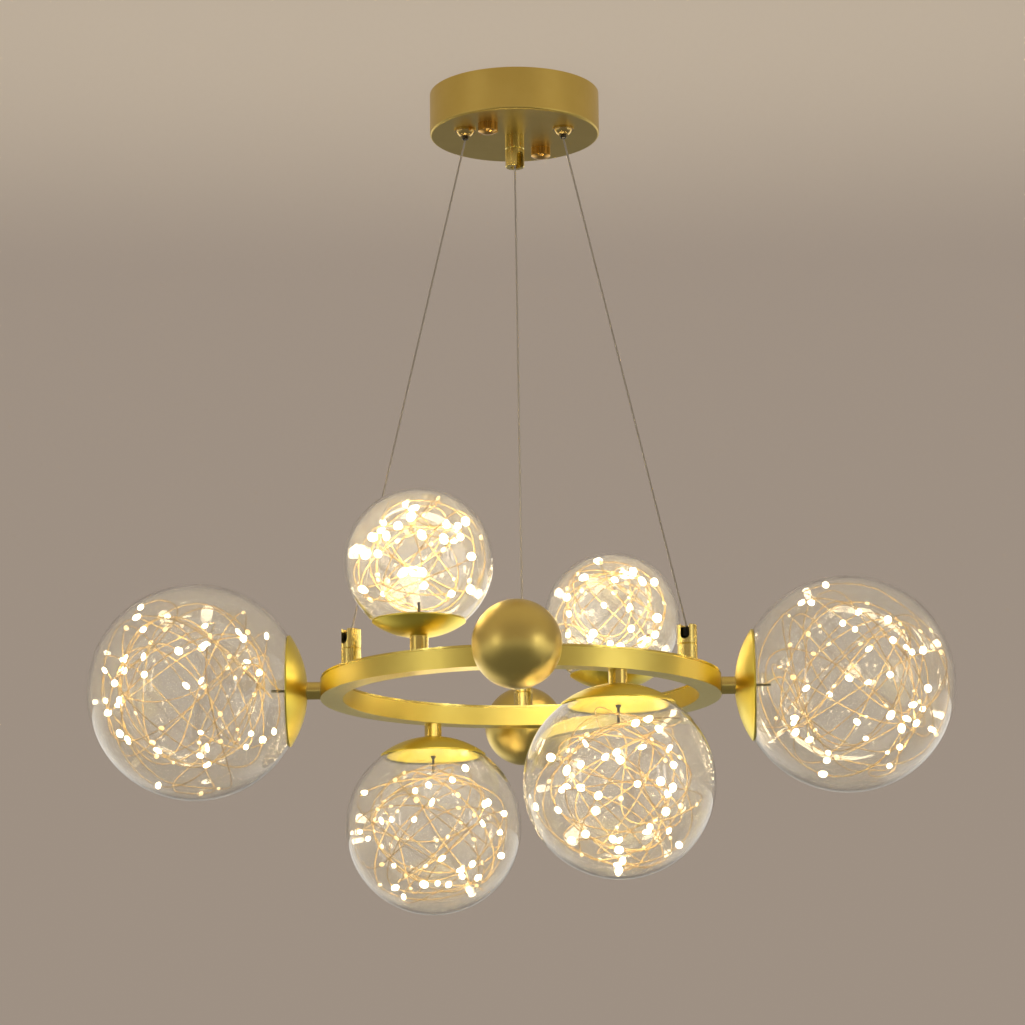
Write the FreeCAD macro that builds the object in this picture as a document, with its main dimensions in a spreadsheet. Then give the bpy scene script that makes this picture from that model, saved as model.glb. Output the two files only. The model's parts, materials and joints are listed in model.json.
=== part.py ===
"""Orb chandelier: a flat ring lamp on three cables, with six clear glass globes, each holding
a string of tiny lights, and two plain gold balls.

Millimetres. +Z is up and +X is to the right. The origin is on the ceiling, in the middle of the canopy.
Angles round the ring are counted from the front (-Y) towards the right (+X).
"""

import FreeCAD, Part

import math
import os

import Sketcher

V = FreeCAD.Vector
DOWN = FreeCAD.Rotation(V(1, 0, 0), 180)

# ---------------------------------------------------------------------------------------------
# Driving dimensions
# ---------------------------------------------------------------------------------------------

SIZES = {
    # canopy on the ceiling
    "canopy_radius": 59.0,
    "canopy_height": 30.0,
    "canopy_wall": 1.2,
    "canopy_edge_radius": 1.6,
    # strap under the ceiling that carries the canopy
    "strap_length": 110.0,
    "strap_width": 20.0,
    "strap_thickness": 1.5,
    "strap_drop": 6.0,
    "strap_foot": 12.0,
    "ceiling_hole_pitch": 98.0,
    "ceiling_hole_radius": 2.3,
    "wire_hole_radius": 6.0,
    "screw_pitch": 67.0,
    "screw_turn": 57.6,
    "screw_radius": 2.0,
    "screw_head_radius": 3.6,
    "screw_head_height": 2.4,
    "nut_radius": 6.8,
    "nut_height": 8.0,
    "nut_socket_depth": 6.0,
    "nut_flute_radius": 0.7,
    "nut_flute_count": 16,
    # power supply inside the canopy
    "driver_length": 56.0,
    "driver_width": 25.0,
    "driver_height": 16.0,
    "driver_along": 8.0,
    "driver_aside": 27.0,
    "driver_edge_radius": 1.5,
    # cable grippers with a release nozzle
    "gripper_side": 34.0,
    "gripper_front": 16.0,
    "gripper_shank_radius": 5.0,
    "gripper_shank_length": 12.0,
    "gripper_flange_radius": 7.4,
    "gripper_flange_thickness": 1.5,
    "gripper_dome_radius": 6.1,
    "gripper_dome_height": 3.6,
    "gripper_face_radius": 3.4,
    "nozzle_radius": 2.2,
    "nozzle_proud": 2.4,
    "nozzle_length": 9.0,
    "nozzle_bore_radius": 1.05,
    "nozzle_travel": 1.8,
    "nozzle_edge": 0.5,
    # cables
    "cable_radius": 0.75,
    "cable_tail": 24.0,
    "coupler_cable_tail": 12.0,
    # couplers that hold a cable end
    "coupler_radius": 6.6,
    "coupler_base_height": 10.0,
    "coupler_sleeve_height": 13.0,
    "coupler_spigot_radius": 4.6,
    "coupler_spigot_height": 3.4,
    "coupler_stud_radius": 3.5,
    "coupler_stud_length": 5.0,
    "coupler_top": 1.6,
    "coupler_slot_width": 6.0,
    "coupler_slot_depth": 10.0,
    "coupler_edge": 0.5,
    "stop_radius": 3.9,
    "stop_length": 6.6,
    # ring
    "ring_drop": 420.0,
    "arm_step": 30.0,
    "coupler_step": 60.0,
    "ring_outer_radius": 135.0,
    "ring_width": 15.0,
    "ring_height": 14.2,
    "ring_wall": 1.8,
    "ring_lip": 1.1,
    "ring_rebate_depth": 1.0,
    "ring_reveal": 0.6,
    "cover_thickness": 1.2,
    # stems between the ring and what it carries
    "stem_radius": 6.0,
    "stem_length": 9.5,
    "stem_bore_radius": 2.5,
    "stem_spigot_radius": 4.0,
    "stem_foot": 4.0,
    "stem_head": 3.0,
    # caps and plates that close the globes
    "cap_wall": 1.0,
    "cap_flat_radius": 7.5,
    "cap_lip": 1.0,
    "plate_thickness": 1.0,
    "plate_hole_radius": 2.0,
    "plate_slot_length": 7.0,
    "plate_slot_width": 1.4,
    "plate_slot_off": 20.0,
    "grommet_proud": 1.2,
    "glass_inset": 0.7,
    "glass_wall": 1.8,
    # the three sizes of globe
    "large_globe_radius": 73.2,
    "large_cap_radius": 37.6,
    "large_cap_depth": 12.0,
    "middle_globe_radius": 61.7,
    "middle_cap_radius": 36.8,
    "middle_cap_depth": 13.0,
    "small_globe_radius": 48.4,
    "small_cap_radius": 30.3,
    "small_cap_depth": 10.4,
    # gold balls
    "ball_radius": 28.4,
    "ball_wall": 1.5,
    # string lights
    "wire_radius": 0.45,
    "bead_length": 4.0,
    "bead_width": 2.8,
    "string_margin": 3.0,
    "string_lift": 3.5,
    # clearances
    "fit_gap": 0.15,
    "slide_gap": 0.1,
}

doc = FreeCAD.newDocument("OrbChandelier")
sheet = doc.addObject("Spreadsheet::Sheet", "Sizes")
for row, (alias, value) in enumerate(SIZES.items(), start=1):
    sheet.set("A%d" % row, alias.replace("_", " "))
    sheet.set("B%d" % row, str(value))
    sheet.setAlias("B%d" % row, alias)
doc.recompute()


class Dim:
    """A dimension as a number, together with its formula on the sheet."""

    def __init__(self, value, text=None):
        self.value = float(value)
        self.text = text if text is not None else "%.9g" % self.value

    @staticmethod
    def of(other):
        return other if isinstance(other, Dim) else Dim(other)

    def _join(self, sign, other, value):
        return Dim(value, "(%s %s %s)" % (self.text, sign, other.text))

    def __add__(self, other):
        other = Dim.of(other)
        return self._join("+", other, self.value + other.value)

    def __sub__(self, other):
        other = Dim.of(other)
        return self._join("-", other, self.value - other.value)

    def __mul__(self, other):
        other = Dim.of(other)
        return self._join("*", other, self.value * other.value)

    def __truediv__(self, other):
        other = Dim.of(other)
        return self._join("/", other, self.value / other.value)

    def __radd__(self, other):
        return Dim.of(other) + self

    def __rsub__(self, other):
        return Dim.of(other) - self

    def __rmul__(self, other):
        return Dim.of(other) * self

    def __neg__(self):
        return Dim.of(0) - self


def size(name):
    return Dim(SIZES[name], "Sizes." + name)


def leg(hypotenuse, side):
    """The other short side of a right-angled triangle."""
    square = hypotenuse * hypotenuse - side * side
    return Dim(math.sqrt(square.value), "sqrt(%s)" % square.text)


def sine(angle):
    return Dim(math.sin(math.radians(angle.value)), "sin(%s * 1 deg)" % angle.text)


def cosine(angle):
    return Dim(math.cos(math.radians(angle.value)), "cos(%s * 1 deg)" % angle.text)


def on_circle(radius, angle):
    """(x, y) at an angle from the front towards the right."""
    return radius * sine(angle), -(radius * cosine(angle))


def spin(angle):
    """A turn about the vertical."""
    return FreeCAD.Rotation(V(0, 0, 1), Dim.of(angle).value)


# ---------------------------------------------------------------------------------------------
# Sketches and solids
# ---------------------------------------------------------------------------------------------

parts = []


def new_body(label, x=0, y=0, z=0, turn=None):
    body = doc.addObject("PartDesign::Body", label)
    body.Label = label
    place(body, x, y, z, turn)
    parts.append(body)
    return body


def place(piece, x, y, z, turn=None):
    """Puts a piece where it belongs, with its position bound to the sheet. A turn given as an
    angle is a turn about the vertical, and is bound too."""
    spot = [Dim.of(part) for part in (x, y, z)]
    base = V(*[part.value for part in spot])
    rotation = spin(turn) if isinstance(turn, Dim) else turn or FreeCAD.Rotation()
    piece.Placement = FreeCAD.Placement(base, rotation)
    if isinstance(turn, Dim):
        piece.setExpression("Placement.Rotation.Angle", turn.text + " * 1 deg")
    for axis, part in zip("xyz", spot):
        if "Sizes" in part.text:
            piece.setExpression("Placement.Base." + axis, part.text + " * 1 mm")


def plane(body, role):
    for feature in body.Origin.OriginFeatures:
        if feature.Role == role:
            return feature
    raise ValueError(role)


def new_sketch(body, name, role, lift=None):
    sketch = body.newObject("Sketcher::SketchObject", name)
    sketch.AttachmentSupport = [(plane(body, role), "")]
    sketch.MapMode = "FlatFace"
    if lift is not None:
        sketch.AttachmentOffset = FreeCAD.Placement(V(0, 0, lift.value), FreeCAD.Rotation())
        sketch.setExpression("AttachmentOffset.Base.z", lift.text + " * 1 mm")
    return sketch


def fix(sketch, kind, item, end, value):
    """Holds one coordinate of a sketch point: on an axis where it is 0, else by a dimension."""
    if abs(value.value) < 1e-9:
        axis = -2 if kind == "DistanceX" else -1
        sketch.addConstraint(Sketcher.Constraint("PointOnObject", item, end, axis))
        return
    index = sketch.addConstraint(Sketcher.Constraint(kind, -1, 1, item, end, value.value))
    if "Sizes" in value.text:
        sketch.setExpression("Constraints[%d]" % index, value.text)


def draw_outline(sketch, corners, domes=()):
    """A closed outline through corners (x, y). A side whose number is in domes is an arc with its
    centre on the vertical axis, and the other sides are straight."""
    corners = [(Dim.of(x), Dim.of(y)) for x, y in corners]
    ends = []
    for i, (a, b) in enumerate(zip(corners, corners[1:] + corners[:1])):
        ax, ay, bx, by = a[0].value, a[1].value, b[0].value, b[1].value
        if i in domes:
            middle = (ax * ax + ay * ay - bx * bx - by * by) / (2 * (ay - by))
            radius = math.hypot(ax, ay - middle)
            start = math.atan2(ay - middle, ax)
            stop = math.atan2(by - middle, bx)
            forward = math.sin(stop - start) > 0
            first, last = (start, stop) if forward else (stop, start)
            circle = Part.Circle(V(0, middle, 0), V(0, 0, 1), radius)
            item = sketch.addGeometry(Part.ArcOfCircle(circle, first, last), False)
            sketch.addConstraint(Sketcher.Constraint("PointOnObject", item, 3, -2))
            ends.append((item, 1, 2) if forward else (item, 2, 1))
        else:
            item = sketch.addGeometry(Part.LineSegment(V(ax, ay, 0), V(bx, by, 0)), False)
            ends.append((item, 1, 2))
    for i, (item, start, _) in enumerate(ends):
        before, _, stop = ends[i - 1]
        sketch.addConstraint(Sketcher.Constraint("Coincident", before, stop, item, start))
        fix(sketch, "DistanceX", item, start, corners[i][0])
        fix(sketch, "DistanceY", item, start, corners[i][1])


def draw_circle(sketch, x, y, radius):
    x, y, radius = Dim.of(x), Dim.of(y), Dim.of(radius)
    item = sketch.addGeometry(Part.Circle(V(x.value, y.value, 0), V(0, 0, 1), radius.value), False)
    index = sketch.addConstraint(Sketcher.Constraint("Radius", item, radius.value))
    sketch.setExpression("Constraints[%d]" % index, radius.text)
    fix(sketch, "DistanceX", item, 3, x)
    fix(sketch, "DistanceY", item, 3, y)


def revolve(body, corners, domes=()):
    """The body's outline, drawn to the right of its axis and turned once round."""
    sketch = new_sketch(body, "Outline", "XZ_Plane")
    draw_outline(sketch, corners, domes)
    turned = body.newObject("PartDesign::Revolution", "Turned")
    turned.Profile = sketch
    turned.ReferenceAxis = (sketch, ["V_Axis"])
    turned.Angle = 360
    return turned


def pad(body, sketch, height):
    raised = body.newObject("PartDesign::Pad", "Raised")
    raised.Profile = sketch
    raised.Length = height.value
    raised.setExpression("Length", height.text)
    return raised


def pocket(body, sketch, depth=None, both=False, towards_normal=False):
    """Cuts a sketch into the body: through all, or to a depth. It cuts against the sketch's
    normal unless it is told otherwise."""
    cut = body.newObject("PartDesign::Pocket", "Cut")
    cut.Profile = sketch
    cut.Reversed = towards_normal
    if both:
        cut.Midplane = True
    if depth is None:
        cut.Type = "ThroughAll"
    else:
        cut.Length = depth.value
        cut.setExpression("Length", depth.text)
    return cut


def soften(body, base, radius, chosen):
    """Rounds the edges of base that chosen(edge) picks."""
    doc.recompute()
    names = [
        "Edge%d" % (i + 1) for i, edge in enumerate(base.Shape.Edges) if chosen(edge)
    ]
    rounded = body.newObject("PartDesign::Fillet", "Rounded")
    rounded.Base = (base, names)
    rounded.Radius = radius.value
    rounded.setExpression("Radius", radius.text)
    return rounded


def draw_slot(sketch, x, y, length, width):
    """A slot with round ends that lies along X, centred on (x, y)."""
    x, y, radius = Dim.of(x), Dim.of(y), width / 2
    left, right = x - (length / 2 - radius), x + (length / 2 - radius)
    low, high = y - radius, y + radius
    corners = [(left, low), (right, low), (right, high), (left, high)]
    points = [V(a.value, b.value, 0) for a, b in corners]
    tips = V(right.value + radius.value, y.value, 0), V(left.value - radius.value, y.value, 0)
    under = sketch.addGeometry(Part.LineSegment(points[0], points[1]), False)
    ahead_end = sketch.addGeometry(Part.Arc(points[1], tips[0], points[2]), False)
    over = sketch.addGeometry(Part.LineSegment(points[2], points[3]), False)
    back_end = sketch.addGeometry(Part.Arc(points[3], tips[1], points[0]), False)
    for item, start, stop in ((under, 0, 1), (over, 2, 3)):
        for end, corner in ((1, corners[start]), (2, corners[stop])):
            fix(sketch, "DistanceX", item, end, corner[0])
            fix(sketch, "DistanceY", item, end, corner[1])
    for arc, (first, first_end), (last, last_end), middle in (
        (ahead_end, (under, 2), (over, 1), right),
        (back_end, (over, 2), (under, 1), left),
    ):
        sketch.addConstraint(Sketcher.Constraint("Coincident", arc, 1, first, first_end))
        sketch.addConstraint(Sketcher.Constraint("Coincident", arc, 2, last, last_end))
        fix(sketch, "DistanceX", arc, 3, middle)


def together(label, pieces):
    """Several loose solids that are kept as one piece."""
    for piece in pieces:
        if piece in parts:
            parts.remove(piece)
    group = doc.addObject("Part::Compound", label)
    group.Label = label
    group.Links = pieces
    parts.append(group)


# ---------------------------------------------------------------------------------------------
# Levels and places shared by several pieces
# ---------------------------------------------------------------------------------------------

gap = size("fit_gap")
canopy_face = -size("canopy_height")
ring_middle = -size("ring_drop")
ring_top = ring_middle + size("ring_height") / 2
ring_bottom = ring_middle - size("ring_height") / 2
ring_inner_radius = size("ring_outer_radius") - size("ring_width")
ring_line = size("ring_outer_radius") - size("ring_width") / 2
stem_hole = size("stem_spigot_radius") + gap
stud_hole = size("coupler_stud_radius") + gap
shank_hole = size("gripper_shank_radius") + gap
screw_hole = size("screw_radius") + gap
coupler_height = size("coupler_base_height") + size("coupler_sleeve_height")
gripper_face = size("gripper_flange_thickness") + size("gripper_dome_height")
nozzle_tip = gripper_face + size("nozzle_proud")

screw_reach = size("screw_pitch") / 2
screw_across = screw_reach * cosine(size("screw_turn"))
screw_back = screw_reach * sine(size("screw_turn"))
grippers = {"left": -size("gripper_side"), "right": size("gripper_side")}

# where things stand round the ring
LEFT, RIGHT, FRONT, BACK = Dim(-90), Dim(90), Dim(0), Dim(180)
ARM, COUPLER = size("arm_step"), size("coupler_step")
couplers = {"left": -COUPLER, "right": COUPLER, "back": BACK}

# each arm: what it is called, which way it points, its angle round the ring and its size
arms = [
    ("left", "out", LEFT, "large"),
    ("right", "out", RIGHT, "large"),
    ("upper_left", "up", -ARM, "small"),
    ("upper_right", "up", BACK - ARM, "small"),
    ("lower_left", "down", BACK + ARM, "middle"),
    ("lower_right", "down", ARM, "middle"),
]
balls = [("front", FRONT), ("back", BACK)]


# ---------------------------------------------------------------------------------------------
# Ceiling side
# ---------------------------------------------------------------------------------------------


def make_canopy():
    """A deep drawn cup, open towards the ceiling, with its edge rounded."""
    body = new_body("canopy", z=canopy_face)
    radius, wall, height = size("canopy_radius"), size("canopy_wall"), size("canopy_height")
    cup = revolve(
        body,
        [
            (0, 0),
            (radius, 0),
            (radius, height),
            (radius - wall, height),
            (radius - wall, wall),
            (0, wall),
        ],
    )
    rounded = soften(
        body,
        cup,
        size("canopy_edge_radius"),
        lambda edge: edge.BoundBox.ZMax < 0.01 and edge.BoundBox.XMax > radius.value - 0.01,
    )
    body.Tip = rounded
    holes = new_sketch(body, "Holes", "XY_Plane")
    draw_circle(holes, 0, 0, stud_hole)
    for x in grippers.values():
        draw_circle(holes, x, -size("gripper_front"), shank_hole)
    for sign in (-1, 1):
        draw_circle(holes, screw_across * sign, screw_back * sign, screw_hole)
    body.Tip = pocket(body, holes, wall * 2, towards_normal=True)


def make_strap():
    """A strap with two feet on the ceiling and a dropped middle, like a shallow hat."""
    body = new_body("ceiling_strap", turn=size("screw_turn"))
    half, foot = size("strap_length") / 2, size("strap_foot")
    drop, thick, width = size("strap_drop"), size("strap_thickness"), size("strap_width")
    lean = drop - thick
    hat = new_sketch(body, "Hat", "XZ_Plane")
    bend, inner = half - foot, half - foot - lean
    draw_outline(
        hat,
        [
            (-half, 0),
            (-bend, 0),
            (-inner, -lean),
            (inner, -lean),
            (bend, 0),
            (half, 0),
            (half, -thick),
            (bend - thick / 2, -thick),
            (inner - thick / 2, -drop),
            (thick / 2 - inner, -drop),
            (thick / 2 - bend, -thick),
            (-half, -thick),
        ],
    )
    strap = pad(body, hat, width)
    strap.Midplane = True
    doc.recompute()
    holes = new_sketch(body, "Holes", "XY_Plane")
    for sign in (-1, 1):
        draw_circle(holes, screw_reach * sign, 0, screw_hole)
        draw_circle(holes, size("ceiling_hole_pitch") / 2 * sign, 0, size("ceiling_hole_radius"))
    draw_circle(holes, 0, 0, size("wire_hole_radius"))
    body.Tip = pocket(body, holes, both=True)


def make_canopy_screws():
    """The two screws that hang from the strap and pass through the canopy."""
    strap_top = size("strap_drop") - size("strap_thickness")
    below = size("canopy_height") + size("nut_socket_depth") - gap * 2
    shaft, head = size("screw_radius"), size("screw_head_radius")
    neck = below - strap_top
    top = neck + size("screw_head_height")
    screws = []
    for name, sign in (("front", -1), ("back", 1)):
        body = new_body("canopy_screw_" + name, screw_across * sign, screw_back * sign, -below)
        revolve(body, [(0, 0), (shaft, 0), (shaft, neck), (head, neck), (head, top), (0, top)])
        screws.append(body)
    together("canopy_screws", screws)


def make_cap_nut(name, sign):
    """A fluted nut with a rounded end, screwed on from below."""
    body = new_body("cap_nut_" + name, screw_across * sign, screw_back * sign, canopy_face, DOWN)
    radius, height, socket = size("nut_radius"), size("nut_height"), size("nut_socket_depth")
    edge = height * 0.72
    revolve(
        body,
        [(screw_hole, 0), (radius, 0), (radius, edge), (0, height), (0, socket), (screw_hole, socket)],
        domes=(2,),
    )
    doc.recompute()
    flute = new_sketch(body, "Flute", "XY_Plane")
    draw_circle(flute, radius + size("nut_flute_radius") * 0.3, 0, size("nut_flute_radius"))
    cut = pocket(body, flute, height * 0.6, towards_normal=True)
    ring = body.newObject("PartDesign::PolarPattern", "Flutes")
    ring.Originals = [cut]
    ring.Axis = (flute, ["N_Axis"])
    ring.Angle = 360
    ring.Occurrences = int(SIZES["nut_flute_count"])
    ring.setExpression("Occurrences", "Sizes.nut_flute_count")
    body.Tip = ring


def make_driver():
    """The power supply, a sealed box that lies on the canopy's floor beside the strap's screws."""
    turn, along, aside = size("screw_turn"), size("driver_along"), size("driver_aside")
    x = along * cosine(turn) - aside * sine(turn)
    y = along * sine(turn) + aside * cosine(turn)
    body = new_body("led_driver", x, y, canopy_face + size("canopy_wall"), turn)
    half, wide = size("driver_length") / 2, size("driver_width") / 2
    base = new_sketch(body, "Footprint", "XY_Plane")
    draw_outline(base, [(-half, -wide), (half, -wide), (half, wide), (-half, wide)])
    box = pad(body, base, size("driver_height"))
    body.Tip = soften(
        body,
        box,
        size("driver_edge_radius"),
        lambda edge: edge.BoundBox.ZLength > SIZES["driver_height"] - 0.01,
    )


def make_gripper(side, x):
    """A domed cable gripper, screwed up through the canopy, with a bore for the nozzle."""
    body = new_body("cable_gripper_" + side, x, -size("gripper_front"), canopy_face, DOWN)
    shank, flange = size("gripper_shank_radius"), size("gripper_flange_radius")
    thick, dome = size("gripper_flange_thickness"), size("gripper_dome_radius")
    bore = size("nozzle_radius") + size("slide_gap")
    cable = size("cable_radius") + size("fit_gap") * 2
    floor = nozzle_tip - size("nozzle_length") - size("nozzle_travel") - size("slide_gap")
    top = -size("gripper_shank_length")
    revolve(
        body,
        [
            (cable, top),
            (shank, top),
            (shank, 0),
            (flange, 0),
            (flange, thick),
            (dome, thick),
            (size("gripper_face_radius"), gripper_face),
            (bore, gripper_face),
            (bore, floor),
            (cable, floor),
        ],
        domes=(5,),
    )


def make_nozzle(side, x):
    """The small tube that is pushed up to let go of the cable."""
    body = new_body("release_nozzle_" + side, x, -size("gripper_front"), canopy_face, DOWN)
    radius, bore, edge = size("nozzle_radius"), size("nozzle_bore_radius"), size("nozzle_edge")
    start = nozzle_tip - size("nozzle_length")
    revolve(
        body,
        [
            (bore, start),
            (radius, start),
            (radius, nozzle_tip - edge),
            (radius - edge, nozzle_tip),
            (bore, nozzle_tip),
        ],
    )


# ---------------------------------------------------------------------------------------------
# Couplers and cables
# ---------------------------------------------------------------------------------------------


def make_coupler(name, x, y, z, turn):
    """A round base with a sleeve on it. The sleeve has a slot down one side, as on a bayonet, and
    a cable end sits in it."""
    radius, edge = size("coupler_radius"), size("coupler_edge")
    base_height, spigot = size("coupler_base_height"), size("coupler_spigot_radius")
    stud, spigot_top = size("coupler_stud_radius"), base_height + size("coupler_spigot_height")
    base = new_body("coupler_base_" + name, x, y, z, turn)
    bore = size("cable_radius") + size("fit_gap") * 3
    revolve(
        base,
        [
            (bore, -size("coupler_stud_length")),
            (stud, -size("coupler_stud_length")),
            (stud, 0),
            (radius, 0),
            (radius, base_height - edge),
            (radius - edge, base_height),
            (spigot, base_height),
            (spigot, spigot_top),
            (bore, spigot_top),
        ],
    )
    sleeve = new_body("coupler_sleeve_" + name, x, y, z, turn)
    inner, top = spigot + gap, coupler_height - size("coupler_top")
    revolve(
        sleeve,
        [
            (inner, base_height),
            (radius - edge, base_height),
            (radius, base_height + edge),
            (radius, coupler_height - edge),
            (radius - edge, coupler_height),
            (0, coupler_height),
            (0, top),
            (inner, top),
        ],
    )
    doc.recompute()
    slot = new_sketch(sleeve, "Slot", "XZ_Plane")
    half = size("coupler_slot_width") / 2
    low = coupler_height - size("coupler_slot_depth") + half
    draw_outline(slot, [(-half, low), (half, low), (half, coupler_height + 1), (-half, coupler_height + 1)])
    pocket(sleeve, slot, radius + 1)
    end = new_sketch(sleeve, "SlotEnd", "XZ_Plane")
    draw_circle(end, 0, low, half)
    pocket(sleeve, end, radius + 1)
    notch = new_sketch(sleeve, "Notch", "XY_Plane", lift=coupler_height)
    draw_circle(notch, 0, 0, half)
    sleeve.Tip = pocket(sleeve, notch, size("coupler_top") + 0.5)


def make_cable(name, start, stop):
    """One straight, tight cable with level ends, so that each end lies flat on what holds it."""
    body = new_body("suspension_cable_" + name, *start)
    sketch = new_sketch(body, "Section", "XY_Plane")
    draw_circle(sketch, 0, 0, size("cable_radius"))
    run = [Dim.of(b) - Dim.of(a) for a, b in zip(start, stop)]
    cable = body.newObject("PartDesign::Pad", "Run")
    cable.Profile = sketch
    cable.UseCustomVector = True
    cable.Direction = V(*[part.value for part in run])
    for axis, part in zip("xyz", run):
        cable.setExpression("Direction." + axis, part.text)
    cable.AlongSketchNormal = True
    fall = -run[2]
    cable.Length = fall.value
    cable.setExpression("Length", fall.text)


def make_tail(name, x, y, low, length):
    """The end of a cable that stands up inside the canopy."""
    tail = doc.addObject("Part::Cylinder", "cable_tail_" + name)
    tail.Radius = SIZES["cable_radius"]
    tail.setExpression("Radius", "Sizes.cable_radius")
    tail.Height = length.value
    tail.setExpression("Height", length.text)
    place(tail, x, y, low)
    return tail


def make_stop(name, x, y, z):
    """The barrel pressed on the end of a cable."""
    body = new_body("cable_stop_" + name, x, y, z)
    radius, length, edge = size("stop_radius"), size("stop_length"), size("coupler_edge")
    revolve(
        body,
        [
            (0, 0),
            (radius - edge, 0),
            (radius, edge),
            (radius, length - edge),
            (radius - edge, length),
            (0, length),
        ],
    )
    return body


# ---------------------------------------------------------------------------------------------
# Ring
# ---------------------------------------------------------------------------------------------


def make_ring_channel():
    """The ring itself: a channel, open upwards, with a step inside each wall for the cover."""
    body = new_body("ring_channel", z=ring_bottom)
    outer, inner = size("ring_outer_radius"), ring_inner_radius
    wall, lip, floor = size("ring_wall"), size("ring_lip"), size("ring_wall")
    top = size("ring_height") - size("cover_thickness") - size("ring_reveal")
    step = top - size("ring_rebate_depth")
    revolve(
        body,
        [
            (inner, 0),
            (outer, 0),
            (outer, top),
            (outer - lip, top),
            (outer - lip, step),
            (outer - wall, step),
            (outer - wall, floor),
            (inner + wall, floor),
            (inner + wall, step),
            (inner + lip, step),
            (inner + lip, top),
            (inner, top),
        ],
    )
    doc.recompute()
    below = new_sketch(body, "FloorHoles", "XY_Plane")
    for name, way, angle, kind in arms:
        if way == "down":
            draw_circle(below, *on_circle(ring_line, angle), stem_hole)
    pocket(body, below, floor * 2, towards_normal=True)
    half = size("ring_height") / 2
    for role in ("YZ_Plane", "XZ_Plane"):
        for towards in (True, False):
            side = new_sketch(body, "WallHole", role, lift=ring_line if towards else -ring_line)
            draw_circle(side, 0, half, stem_hole)
            body.Tip = pocket(body, side, size("ring_width"), towards_normal=towards)


def make_ring_cover():
    """The strip that closes the ring, with a tongue in the channel and a thin shadow line below it."""
    thick, reveal, depth = size("cover_thickness"), size("ring_reveal"), size("ring_rebate_depth")
    tongue = reveal + depth
    body = new_body("ring_cover", z=ring_top - thick - tongue)
    outer, inner = size("ring_outer_radius"), ring_inner_radius
    lip = size("ring_lip") + size("fit_gap")
    revolve(
        body,
        [
            (inner + lip, 0),
            (outer - lip, 0),
            (outer - lip, tongue),
            (outer, tongue),
            (outer, tongue + thick),
            (inner, tongue + thick),
            (inner, tongue),
            (inner + lip, tongue),
        ],
    )
    doc.recompute()
    holes = new_sketch(body, "Holes", "XY_Plane")
    for name, way, angle, kind in arms:
        if way == "up":
            draw_circle(holes, *on_circle(ring_line, angle), stem_hole)
    for angle in couplers.values():
        draw_circle(holes, *on_circle(ring_line, angle), stud_hole)
    body.Tip = pocket(body, holes, (tongue + thick) * 2, towards_normal=True)


# ---------------------------------------------------------------------------------------------
# Arms, globes and balls. Each is drawn along +Z, from the ring outwards, and then laid in place
# ---------------------------------------------------------------------------------------------


def arm_frame(way, angle):
    """(x, y, z, turn) of an arm's foot on the ring."""
    if way == "up":
        return *on_circle(ring_line, angle), ring_top, angle
    if way == "down":
        return *on_circle(ring_line, angle), ring_bottom, spin(angle).multiply(DOWN)
    radial = V(sine(angle).value, -cosine(angle).value, 0)
    turn = FreeCAD.Rotation(radial.cross(V(0, 0, 1)), V(0, 0, 1), radial, "ZXY")
    return *on_circle(size("ring_outer_radius"), angle), ring_middle, turn


def make_stem(name, frame, head):
    """A short tube with a thinner end at the ring and another in what it carries."""
    body = new_body("stem_" + name, *frame)
    radius, bore, spigot = size("stem_radius"), size("stem_bore_radius"), size("stem_spigot_radius")
    foot, length = size("stem_foot"), size("stem_length")
    revolve(
        body,
        [
            (bore, -foot),
            (spigot, -foot),
            (spigot, 0),
            (radius, 0),
            (radius, length),
            (spigot, length),
            (spigot, length + head),
            (bore, length + head),
        ],
    )


def make_cap(name, frame, kind):
    """A shallow spun dome with a flat seat for the stem and a short straight rim."""
    body = new_body("cap_" + name, *frame)
    start, wall = size("stem_length"), size("cap_wall")
    flat, rim, depth = size("cap_flat_radius"), size(kind + "_cap_radius"), size(kind + "_cap_depth")
    bend = start + depth - size("cap_lip")
    revolve(
        body,
        [
            (stem_hole, start),
            (flat, start),
            (rim, bend),
            (rim, start + depth),
            (rim - wall, start + depth),
            (rim - wall, bend),
            (flat, start + wall),
            (stem_hole, start + wall),
        ],
        domes=(1, 5),
    )


def make_plate(name, frame, kind):
    """The flat plate in the cap's rim, with a hole for the lead and a slot beside it."""
    body = new_body("cap_plate_" + name, *frame)
    start = size("stem_length") + size(kind + "_cap_depth") - size("plate_thickness")
    radius = size(kind + "_cap_radius") - size("cap_wall") - size("slide_gap")
    sketch = new_sketch(body, "Disc", "XY_Plane", lift=start)
    draw_circle(sketch, 0, 0, radius)
    draw_circle(sketch, 0, 0, size("plate_hole_radius"))
    plate = pad(body, sketch, size("plate_thickness"))
    doc.recompute()
    slot = new_sketch(body, "Slot", "XY_Plane", lift=start)
    draw_slot(slot, 0, size("plate_slot_off"), size("plate_slot_length"), size("plate_slot_width"))
    body.Tip = pocket(body, slot, size("plate_thickness") * 2, towards_normal=True)


def globe_centre(kind):
    """(glass edge, how far the globe's centre is from its edge, where the edge is along the arm)."""
    edge = size(kind + "_cap_radius") - size("glass_inset")
    start = size("stem_length") + size(kind + "_cap_depth")
    return edge, leg(size(kind + "_globe_radius"), edge), start


def make_globe(name, frame, kind):
    """A blown glass ball with one round opening, whose edge rests on the cap."""
    body = new_body("glass_globe_" + name, *frame)
    radius, wall = size(kind + "_globe_radius"), size("glass_wall")
    edge, away, start = globe_centre(kind)
    inner_edge = leg(radius - wall, away)
    pole = start + away + radius
    revolve(
        body,
        [(edge, start), (0, pole), (0, pole - wall), (inner_edge, start)],
        domes=(0, 2),
    )


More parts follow.
